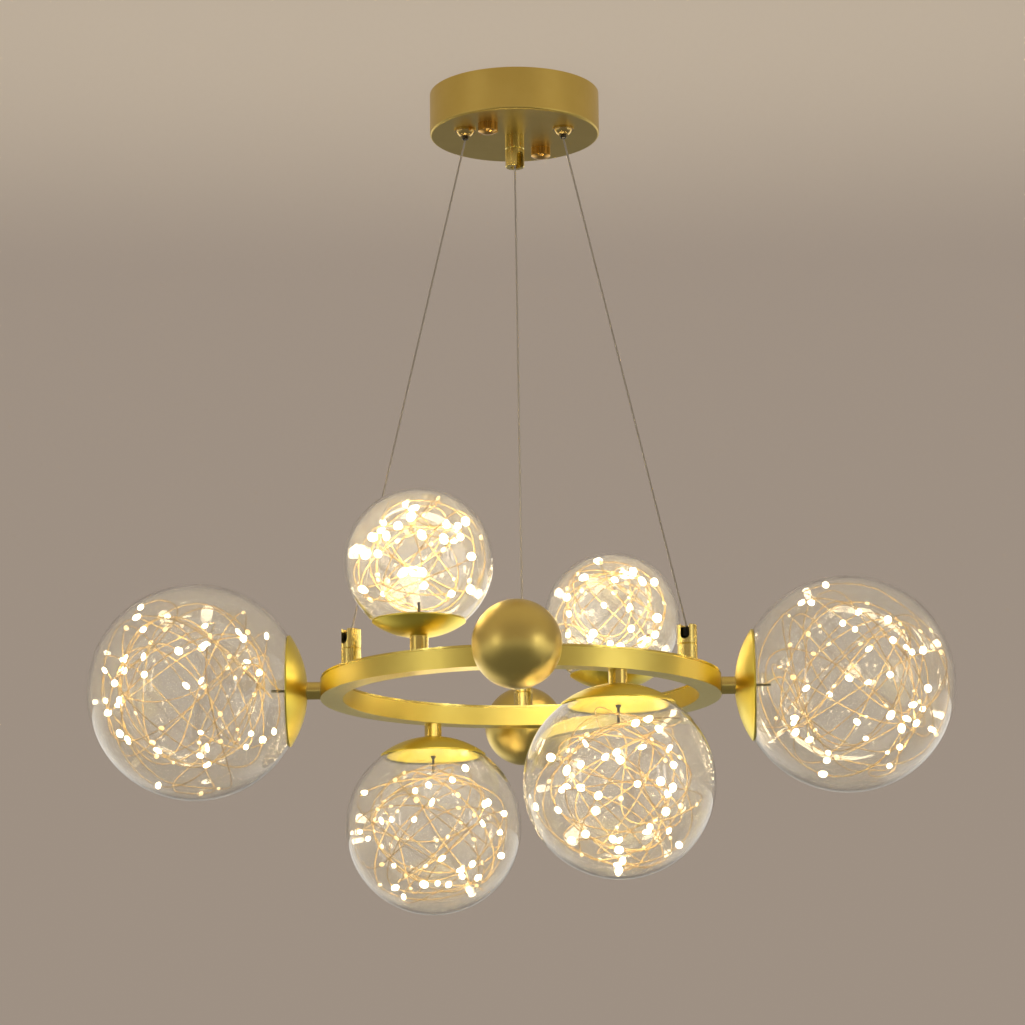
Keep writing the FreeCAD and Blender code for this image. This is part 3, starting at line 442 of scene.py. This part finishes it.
def string_tree():
    """Geometry Nodes: two thin wires that twist about the drawn line, and lamps spaced along it."""
    tree = bpy.data.node_groups.new("string_of_lights", "GeometryNodeTree")
    face = tree.interface
    face.new_socket("Geometry", in_out="INPUT", socket_type="NodeSocketGeometry")
    inputs = {
        "Step": 0.0022, "Wire Radius": 0.00023, "Strand Offset": 0.00032, "Twist Length": 0.016,
        "Lamp Radius": 0.0015, "Bright Lamp Radius": 0.0022, "Lamp Spacing": 0.045,
        "Dim Share": 0.4, "Room": 0.07, "Plate Level": -0.06,
    }
    for name, value in inputs.items():
        socket = face.new_socket(name, in_out="INPUT", socket_type="NodeSocketFloat")
        socket.default_value = value
    seed = face.new_socket("Seed", in_out="INPUT", socket_type="NodeSocketInt")
    seed.default_value = 1
    for name in ("Centre", "Arm Direction", "Foot"):
        face.new_socket(name, in_out="INPUT", socket_type="NodeSocketVector")
    for name in ("Wire", "Bright Lamp", "Dim Lamp", "Lead"):
        face.new_socket(name, in_out="INPUT", socket_type="NodeSocketMaterial")
    face.new_socket("Geometry", in_out="OUTPUT", socket_type="NodeSocketGeometry")
    given = add(tree, "NodeGroupInput").outputs
    drawn = add(
        tree, "GeometryNodeResampleCurve",
        links={"Curve": given["Geometry"], "Length": given["Step"]}, mode="LENGTH",
    ).outputs[0]
    # the wire springs out until the glass stops it, and it stays off the plate
    here = add(tree, "GeometryNodeInputPosition").outputs[0]
    arm = add(
        tree, "ShaderNodeVectorMath", links={0: here, 1: given["Centre"]}, operation="SUBTRACT",
    ).outputs[0]
    far = add(tree, "ShaderNodeVectorMath", links={0: arm}, operation="LENGTH").outputs["Value"]
    held = add(
        tree, "ShaderNodeMath", links={0: far, 1: given["Room"]}, operation="MINIMUM",
    ).outputs[0]
    unit = add(tree, "ShaderNodeVectorMath", links={0: arm}, operation="NORMALIZE").outputs[0]
    inside = add(
        tree, "ShaderNodeVectorMath", links={0: unit, "Scale": held}, operation="SCALE",
    ).outputs[0]
    level = add(
        tree, "ShaderNodeVectorMath", links={0: inside, 1: given["Arm Direction"]},
        operation="DOT_PRODUCT",
    ).outputs["Value"]
    below = add(
        tree, "ShaderNodeMath", links={0: given["Plate Level"], 1: level}, operation="SUBTRACT",
    ).outputs[0]
    lift = add(tree, "ShaderNodeMath", {1: 0.0}, {0: below}, operation="MAXIMUM").outputs[0]
    raised = add(
        tree, "ShaderNodeVectorMath", links={0: given["Arm Direction"], "Scale": lift},
        operation="SCALE",
    ).outputs[0]
    clear = add(
        tree, "ShaderNodeVectorMath", links={0: inside, 1: raised}, operation="ADD",
    ).outputs[0]
    settled = add(
        tree, "ShaderNodeVectorMath", links={0: clear, 1: given["Centre"]}, operation="ADD",
    ).outputs[0]
    line = add(
        tree, "GeometryNodeSetPosition", links={"Geometry": drawn, "Position": settled},
    ).outputs[0]
    spot = add(tree, "GeometryNodeSplineParameter").outputs["Length"]
    turns = add(
        tree, "ShaderNodeMath", links={0: spot, 1: given["Twist Length"]}, operation="DIVIDE",
    ).outputs[0]
    angle = add(
        tree, "ShaderNodeMath", {1: 2 * math.pi}, {0: turns}, operation="MULTIPLY",
    ).outputs[0]
    normal = add(tree, "GeometryNodeInputNormal").outputs[0]
    tangent = add(tree, "GeometryNodeInputTangent").outputs[0]
    side = add(
        tree, "ShaderNodeVectorRotate", links={"Vector": normal, "Axis": tangent, "Angle": angle},
        rotation_type="AXIS_ANGLE",
    ).outputs[0]
    profile = add(
        tree, "GeometryNodeCurvePrimitiveCircle", {"Resolution": 5},
        {"Radius": given["Wire Radius"]}, mode="RADIUS",
    ).outputs[0]
    strands = []
    for sign in (1.0, -1.0):
        reach = add(
            tree, "ShaderNodeMath", {1: sign}, {0: given["Strand Offset"]}, operation="MULTIPLY",
        ).outputs[0]
        shift = add(
            tree, "ShaderNodeVectorMath", links={0: side, "Scale": reach}, operation="SCALE",
        ).outputs[0]
        moved = add(
            tree, "GeometryNodeSetPosition", links={"Geometry": line, "Offset": shift},
        ).outputs[0]
        tube = add(
            tree, "GeometryNodeCurveToMesh", {"Fill Caps": True},
            {"Curve": moved, "Profile Curve": profile},
        ).outputs[0]
        strands.append(tube)
    pair = add(tree, "GeometryNodeJoinGeometry")
    for tube in strands:
        tree.links.new(tube, pair.inputs[0])
    wires = add(
        tree, "GeometryNodeSetMaterial",
        links={"Geometry": pair.outputs[0], "Material": given["Wire"]},
    ).outputs[0]

    marks = add(
        tree, "GeometryNodeResampleCurve", links={"Curve": line, "Length": given["Lamp Spacing"]},
        mode="LENGTH",
    ).outputs[0]
    points = add(tree, "GeometryNodeCurveToPoints", links={"Curve": marks}, mode="EVALUATED")
    dim = add(
        tree, "FunctionNodeRandomValue",
        links={"Probability": given["Dim Share"], "Seed": given["Seed"]},
        data_type="BOOLEAN",
    ).outputs[3]
    bright = add(tree, "FunctionNodeBooleanMath", links={0: dim}, operation="NOT").outputs[0]
    # the first stretch, from the plate to the winding, is the bare lead
    rise = add(
        tree, "ShaderNodeVectorMath", links={0: here, 1: given["Foot"]}, operation="DISTANCE",
    ).outputs["Value"]
    off = add(
        tree, "FunctionNodeCompare", {1: BARE_LEAD}, {0: rise},
        data_type="FLOAT", operation="GREATER_THAN",
    ).outputs[0]
    dim = add(tree, "FunctionNodeBooleanMath", links={0: dim, 1: off}, operation="AND").outputs[0]
    bright = add(
        tree, "FunctionNodeBooleanMath", links={0: bright, 1: off}, operation="AND",
    ).outputs[0]
    both = add(tree, "GeometryNodeJoinGeometry")
    tree.links.new(wires, both.inputs[0])
    # each lamp is a drop of its own size, a little longer along the wire
    for chosen, radius, finish in (
        (dim, "Lamp Radius", "Dim Lamp"), (bright, "Bright Lamp Radius", "Bright Lamp"),
    ):
        drop = add(
            tree, "GeometryNodeMeshIcoSphere", {"Subdivisions": 2}, {"Radius": given[radius]},
        ).outputs[0]
        size = add(
            tree, "FunctionNodeRandomValue", {"Min": (0.55, 0.55, 0.8), "Max": (1.3, 1.3, 1.6)},
            {"Seed": given["Seed"]}, data_type="FLOAT_VECTOR",
        ).outputs["Value"]
        placed = add(
            tree, "GeometryNodeInstanceOnPoints",
            links={
                "Points": points.outputs["Points"], "Selection": chosen, "Instance": drop,
                "Scale": size, "Rotation": points.outputs["Rotation"],
            },
        ).outputs[0]
        lamps = add(tree, "GeometryNodeRealizeInstances", links={"Geometry": placed}).outputs[0]
        smooth = add(tree, "GeometryNodeSetShadeSmooth", links={"Geometry": lamps}).outputs[0]
        lit = add(
            tree, "GeometryNodeSetMaterial", links={"Geometry": smooth, "Material": given[finish]},
        ).outputs[0]
        tree.links.new(lit, both.inputs[0])
    # the dark lead and the plug that it comes through, in the plate's hole
    tip = add(
        tree, "ShaderNodeVectorMath", {"Scale": LEAD_LENGTH}, {0: given["Arm Direction"]},
        operation="SCALE",
    ).outputs[0]
    end = add(
        tree, "ShaderNodeVectorMath", links={0: given["Foot"], 1: tip}, operation="ADD",
    ).outputs[0]
    lead = add(
        tree, "GeometryNodeCurvePrimitiveLine", links={"Start": given["Foot"], "End": end},
    ).outputs[0]
    lead = add(tree, "GeometryNodeResampleCurve", {"Count": 13}, {"Curve": lead}).outputs[0]
    along = add(tree, "GeometryNodeSplineParameter").outputs["Factor"]
    taper = add(
        tree, "ShaderNodeMapRange",
        {"From Min": 0.1, "From Max": 0.16, "To Min": 1.8, "To Max": 0.9}, {"Value": along},
    ).outputs[0]
    around = add(
        tree, "GeometryNodeCurvePrimitiveCircle", {"Resolution": 12, "Radius": LEAD_RADIUS},
        mode="RADIUS",
    ).outputs[0]
    sleeve = add(
        tree, "GeometryNodeCurveToMesh", {"Fill Caps": True},
        {"Curve": lead, "Profile Curve": around, "Scale": taper},
    ).outputs[0]
    sleeve = add(
        tree, "GeometryNodeSetMaterial", links={"Geometry": sleeve, "Material": given["Lead"]},
    ).outputs[0]
    tree.links.new(sleeve, both.inputs[0])
    add(tree, "NodeGroupOutput", links={0: both.outputs[0]})
    return tree


def plain_mesh(holder, name):
    """The evaluated shape of an object as a plain mesh object at the origin."""
    graph = bpy.context.evaluated_depsgraph_get()
    mesh = bpy.data.meshes.new_from_object(holder.evaluated_get(graph))
    piece = bpy.data.objects.new(name, mesh)
    bpy.context.collection.objects.link(piece)
    bpy.data.objects.remove(holder)
    return piece


STRING = string_tree()


def make_string(name):
    """One globe's string of lights, in place of the source's plainer winding."""
    size, direction, degrees, twist, seed = GLOBES[name]
    depth, edge, radius, *_, lamps = SIZES[size]
    dice = random.Random(seed)
    start, across, up, way = arm_frame(direction, degrees)
    foot = start + way * (STEM_LENGTH + depth)
    away = math.sqrt(radius ** 2 - edge ** 2)
    turn = Matrix((across, up, way)).transposed()
    points = [foot + turn @ point for point in winding(size, twist, dice)]
    line = bpy.data.curves.new("string_line_" + name, "CURVE")
    line.dimensions = "3D"
    line.resolution_u = 8
    spline = line.splines.new("NURBS")
    spline.points.add(len(points) - 1)
    for spot, point in zip(spline.points, points):
        spot.co = (*point, 1.0)
    spline.order_u = 4
    spline.use_endpoint_u = True
    holder = bpy.data.objects.new("string_holder_" + name, line)
    bpy.context.collection.objects.link(holder)
    modifier = holder.modifiers.new("string", "NODES")
    modifier.node_group = STRING
    sockets = {
        item.name: item.identifier for item in STRING.interface.items_tree if item.in_out == "INPUT"
    }
    length = sum((b - a).length for a, b in zip(points, points[1:]))
    modifier[sockets["Lamp Spacing"]] = length * LAMP_STRETCH / lamps
    modifier[sockets["Room"]] = radius - GLASS_WALL - STRING_MARGIN
    modifier[sockets["Plate Level"]] = -away + PLATE_ROOM
    modifier[sockets["Centre"]] = foot + way * away
    modifier[sockets["Arm Direction"]] = way
    modifier[sockets["Foot"]] = foot
    modifier[sockets["Seed"]] = seed
    modifier[sockets["Bright Lamp Radius"]] = LAMP_RADIUS[direction]
    modifier[sockets["Wire"]] = COPPER
    modifier[sockets["Bright Lamp"]] = BEAD_BRIGHT
    modifier[sockets["Dim Lamp"]] = BEAD_SOFT
    modifier[sockets["Lead"]] = GROMMET
    piece = plain_mesh(holder, "string_of_lights_" + name)
    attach(piece, "hanging_ring")
    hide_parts("light_string_" + name)


for name in GLOBES:
    make_string(name)


# ---------------------------------------------------------------------------------------------
# Suspension cables
# ---------------------------------------------------------------------------------------------

CABLE_RADIUS = 0.00075
CABLE_LOW = -0.3916  # where the cables end, in the ring couplers
STRANDS = 6
STRAND_CORNERS = 3
RIB_DEPTH = 0.12  # depth of the grooves between strands, against the cable's radius
LAY = 0.009
CABLE_STEP = 0.0015

CABLES = {
    # name: (where it leaves the ceiling part, its spot on the ring)
    "left": (Vector((-0.034, -0.016, -0.0375)), outward(-60) * RING_LINE),
    "right": (Vector((0.034, -0.016, -0.0375)), outward(60) * RING_LINE),
    "back": (Vector((0, 0, -0.053)), outward(180) * RING_LINE),
}


def make_cable(name):
    """A taut rope of six strands, each a shallow rib that winds round it once in 9 mm. It runs
    from the ceiling part to the ring at rest and does not shorten as the ring rises."""
    top, spot = CABLES[name]
    run = Vector((spot.x, spot.y, CABLE_LOW)) - top
    along = run.normalized()
    side = along.cross(Vector((0, 1, 0))).normalized()
    other = along.cross(side)
    around, rings = STRANDS * STRAND_CORNERS, int(run.length / CABLE_STEP)
    points = []
    for ring in range(rings + 1):
        for corner in range(around):
            angle = 2 * math.pi * corner / around
            rib = 1 - RIB_DEPTH * (0.5 - 0.5 * math.cos(STRANDS * angle))
            twisted = angle + 2 * math.pi * run.length * ring / rings / LAY
            spoke = side * math.cos(twisted) + other * math.sin(twisted)
            points.append(top + run * (ring / rings) + spoke * CABLE_RADIUS * rib)
    faces = [tuple(range(around - 1, -1, -1)), tuple(rings * around + i for i in range(around))]
    for ring in range(rings):
        for i in range(around):
            j = (i + 1) % around
            low, high = ring * around, (ring + 1) * around
            faces.append((low + i, low + j, high + j, high + i))
    mesh = bpy.data.meshes.new("steel_rope_" + name)
    mesh.from_pydata(points, [], faces)
    mesh.polygons.foreach_set("use_smooth", [len(face) == 4 for face in faces])
    mesh.materials.append(FINISHES["cable_jacket"])
    piece = bpy.data.objects.new("steel_rope_" + name, mesh)
    bpy.context.collection.objects.link(piece)
    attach(piece, "ceiling_part")
    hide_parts("suspension_cable_" + name)
    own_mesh(piece)


for name in CABLES:
    make_cable(name)


# ---------------------------------------------------------------------------------------------
# Stage and light
# ---------------------------------------------------------------------------------------------

WALL = "#A09285"
# colour of the painted pool of light on the ceiling over the lamp
PAINTED_LIGHT_POOL = "#BFB09D"
POOL_STRENGTH = 1.16
SEEN_SHARE = 0.8  # share of the plain colour where the ceiling is looked at; the rest keeps shadows
CEILING_HALF = 14.0
CEILING_LEVEL = 0.0006
WINDOWS = ((-1, 0.22), (1, 0.5))  # side and strength
WINDOW_WAY = (0.96, -0.26, 0.08)
SOFTBOXES = ((-1, 0.25), (1, 0.9))  # side and watts
SOFTBOX_SIZE = (0.7, 0.6)
TUBE_SIZE = (0.1, 0.9)
TUBE_WATTS = 1.1
GLOBE_GLOW = {"up": 4.4, "down": 2.6, "out": 2.0}  # brightness by the way the arm points
RING_GLOW_AT = (-0.03, -0.03, -0.398)
RING_GLOW_RADIUS = 0.07
RING_GLOW = 1.0
AIM = (0, 0, RING_MIDDLE)  # where the lamps are pointed


def painted_plaster():
    """Matt warm grey ceiling paint with a painted pool of light: its colour is made lighter in an
    oval over the lamp, not lit lighter. It is seen only from below, throws no shadow itself, and
    keeps the canopy's soft shadow."""
    material, tree = new_material("matt_ceiling_paint")
    where = add(tree, "ShaderNodeTexCoord").outputs["Object"]
    # painted pool of light: an oval over the lamp in which the ceiling's colour turns lighter
    oval = add(
        tree, "ShaderNodeMapping", {"Location": (0, 0.2, 0), "Scale": (0.35, 1, 0)},
        {"Vector": where},
    ).outputs[0]
    away = add(tree, "ShaderNodeVectorMath", links={0: oval}, operation="LENGTH").outputs["Value"]
    painted_pool = add(
        tree, "ShaderNodeMapRange",
        {"From Min": 0.04, "From Max": 0.66, "To Min": 1.0, "To Max": 0.0}, {"Value": away},
        interpolation_type="SMOOTHSTEP",
    ).outputs[0]
    tint = add(
        tree, "ShaderNodeMix", {"A": shade(WALL), "B": shade(PAINTED_LIGHT_POOL)}, {"Factor": painted_pool},
        data_type="RGBA",
    ).outputs["Result"]
    paint = add(tree, "ShaderNodeBsdfDiffuse", {"Roughness": 0.9}, {"Color": tint}).outputs[0]
    plain = add(tree, "ShaderNodeEmission", {"Strength": POOL_STRENGTH}, {"Color": tint}).outputs[0]
    path = add(tree, "ShaderNodeLightPath").outputs
    looked = add(
        tree, "ShaderNodeMath", links={0: path["Is Camera Ray"], 1: path["Is Transmission Ray"]},
        operation="MAXIMUM",
    ).outputs[0]
    looked = add(
        tree, "ShaderNodeMath", links={0: looked, 1: path["Is Glossy Ray"]}, operation="MAXIMUM",
    ).outputs[0]
    share = add(
        tree, "ShaderNodeMath", {1: SEEN_SHARE}, {0: looked}, operation="MULTIPLY",
    ).outputs[0]
    seen = add(tree, "ShaderNodeMixShader", links={0: share, 1: paint, 2: plain}).outputs[0]
    behind = add(tree, "ShaderNodeNewGeometry").outputs["Backfacing"]
    open_way = add(
        tree, "ShaderNodeMath", links={0: behind, 1: path["Is Shadow Ray"]}, operation="MAXIMUM",
    ).outputs[0]
    through = add(tree, "ShaderNodeBsdfTransparent").outputs[0]
    shader = add(tree, "ShaderNodeMixShader", links={0: open_way, 1: seen, 2: through})
    finish_material(tree, shader)
    return material


def make_ceiling():
    """The flat ceiling that the canopy is screwed to; its lower face looks down."""
    turns = ((-1, -1), (-1, 1), (1, 1), (1, -1))
    corners = [(x * CEILING_HALF, y * CEILING_HALF, CEILING_LEVEL) for x, y in turns]
    mesh = bpy.data.meshes.new("ceiling")
    mesh.from_pydata(corners, [], [(0, 1, 2, 3)])
    mesh.materials.append(painted_plaster())
    sheet = bpy.data.objects.new("ceiling", mesh)
    bpy.context.collection.objects.link(sheet)


def soft_room():
    """Light from all round: a broad window on each side, the right one brighter, a dim floor and a
    bright wall behind. Seen straight on or through the glass it is the same plain wall all over."""
    world = bpy.data.worlds.new("soft_room")
    world.use_nodes = True
    tree = world.node_tree
    tree.nodes.clear()
    way = add(tree, "ShaderNodeTexCoord").outputs["Generated"]
    parts = add(tree, "ShaderNodeSeparateXYZ", links={0: way}).outputs
    level = add(
        tree, "ShaderNodeMapRange",
        {"From Min": -0.34, "From Max": -0.12, "To Min": 0.16, "To Max": 0.5},
        {"Value": parts["Z"]}, interpolation_type="SMOOTHSTEP",
    ).outputs[0]
    for side, window in WINDOWS:
        x, y, z = WINDOW_WAY
        facing = add(
            tree, "ShaderNodeVectorMath", {1: (side * x, y, z)}, {0: way}, operation="DOT_PRODUCT",
        ).outputs["Value"]
        bright = add(
            tree, "ShaderNodeMapRange",
            {"From Min": 0.74, "From Max": 0.97, "To Min": 0.0, "To Max": window},
            {"Value": facing}, interpolation_type="SMOOTHSTEP",
        ).outputs[0]
        level = add(tree, "ShaderNodeMath", links={0: level, 1: bright}, operation="ADD").outputs[0]
    behind = add(
        tree, "ShaderNodeMapRange",
        {"From Min": 0.25, "From Max": 0.85, "To Min": 0.0, "To Max": 1.0},
        {"Value": parts["Y"]}, interpolation_type="SMOOTHSTEP",
    ).outputs[0]
    aside = add(tree, "ShaderNodeMath", links={0: parts["X"]}, operation="ABSOLUTE").outputs[0]
    off_middle = add(
        tree, "ShaderNodeMapRange",
        {"From Min": 0.16, "From Max": 0.46, "To Min": 0.0, "To Max": 1.0},
        {"Value": aside}, interpolation_type="SMOOTHSTEP",
    ).outputs[0]
    behind = add(
        tree, "ShaderNodeMath", links={0: behind, 1: off_middle}, operation="MULTIPLY",
    ).outputs[0]
    strength = add(tree, "ShaderNodeMath", links={0: level, 1: behind}, operation="ADD").outputs[0]
    light = add(
        tree, "ShaderNodeBackground", {"Color": shade("#FBF6EC")}, {"Strength": strength},
    ).outputs[0]
    plain = add(tree, "ShaderNodeBackground", {"Color": shade(WALL), "Strength": 1.0}).outputs[0]
    path = add(tree, "ShaderNodeLightPath").outputs
    looked = add(
        tree, "ShaderNodeMath", links={0: path["Is Camera Ray"], 1: path["Is Transmission Ray"]},
        operation="MAXIMUM",
    ).outputs[0]
    both = add(tree, "ShaderNodeMixShader", links={0: looked, 1: light, 2: plain}).outputs[0]
    add(tree, "ShaderNodeOutputWorld", links={"Surface": both})
    bpy.context.scene.world = world


def area_lamp(name, at, size, power, colour):
    """A rectangular lamp that faces the ring's middle."""
    data = bpy.data.lights.new(name, "AREA")
    data.shape = "RECTANGLE"
    data.size, data.size_y = size
    data.energy = power
    data.color = shade(colour)[:3]
    lamp = bpy.data.objects.new(name, data)
    lamp.location = at
    lamp.rotation_euler = (Vector(AIM) - Vector(at)).to_track_quat("-Z", "Y").to_euler()
    bpy.context.collection.objects.link(lamp)


def glow(name, at, radius, brightness):
    """A soft warm ball of light that isn't seen itself. Its watts are what a ball of this radius
    gives off at this brightness."""
    data = bpy.data.lights.new("glow_" + name, "POINT")
    data.shadow_soft_size = radius
    data.energy = 4 * (math.pi * radius) ** 2 * brightness
    data.color = shade("#FFF7EA")[:3]
    lamp = bpy.data.objects.new("glow_" + name, data)
    lamp.location = at
    lamp.visible_camera = False
    lamp.visible_transmission = False
    bpy.context.collection.objects.link(lamp)


def string_glow(name):
    """The warm light that all the lamps in one globe throw on what is round it."""
    size, direction, degrees, *_ = GLOBES[name]
    depth, edge, radius, *_ = SIZES[size]
    start, *_, way = arm_frame(direction, degrees)
    centre = start + way * (STEM_LENGTH + depth + math.sqrt(radius ** 2 - edge ** 2))
    glow(name, centre, radius + 0.002, GLOBE_GLOW[direction])


make_ceiling()
soft_room()
for side in (-1, 1):
    # a pair of tubes on each side, whose reflections show as short double bars near the glass rims
    for step in (-0.11, 0.11):
        at = (side * (1.7 + step), -1.5 + step, -0.15)
        area_lamp("tube_lamp", at, TUBE_SIZE, TUBE_WATTS, "#FFFAF2")
for side, power in SOFTBOXES:
    area_lamp("side_softbox", (side * 1.5, -0.85, -0.2), SOFTBOX_SIZE, power, "#FFFCF4")
for name in GLOBES:
    string_glow(name)
# what the lamps together throw on the ring's inner walls
glow("ring_middle", RING_GLOW_AT, RING_GLOW_RADIUS, RING_GLOW)
bpy.context.scene.view_settings.view_transform = "Standard"
